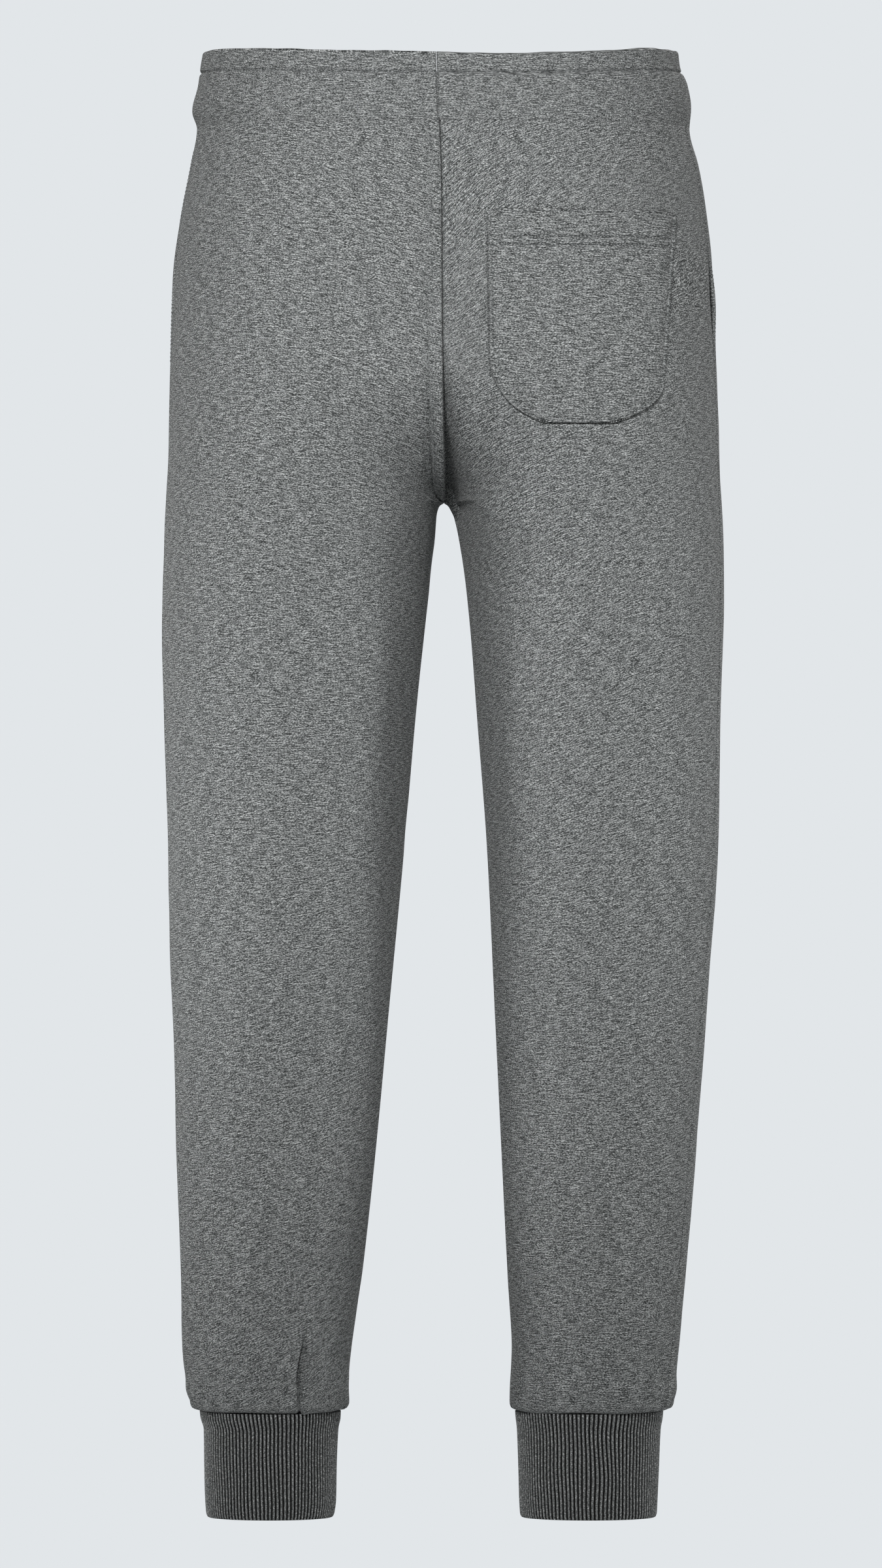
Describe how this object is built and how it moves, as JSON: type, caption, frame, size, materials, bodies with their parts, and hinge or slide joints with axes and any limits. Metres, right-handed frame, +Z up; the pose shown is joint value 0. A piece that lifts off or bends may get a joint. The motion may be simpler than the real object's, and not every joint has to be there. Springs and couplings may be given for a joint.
{
  "type": "jogger sweatpants",
  "caption": "Worn-shape jogger sweatpants with an elasticated waistband, tapered legs, ribbed cuffs, side slit pockets and a back patch pocket.",
  "frame": {"origin": "centre of the waistband, where a waist holds the garment up", "axes": "+Z up along the legs, +X towards the wearer's left, +Y towards the wearer's back"},
  "size_m": [0.3886, 0.2614, 1.0169],
  "materials": {
    "fleece": "matt heather-grey loopback fleece",
    "rib_knit": "matt heather-grey rib knit"
  },
  "bodies": {
    "root": {"waistband": "fleece", "back_left": "fleece", "back_right": "fleece", "front_left": "fleece", "front_right": "fleece", "pocket_facing_left": "fleece", "pocket_facing_right": "fleece", "back_pocket": "fleece", "cuff_left": "rib_knit", "cuff_right": "rib_knit"}
  },
  "joints": []
}
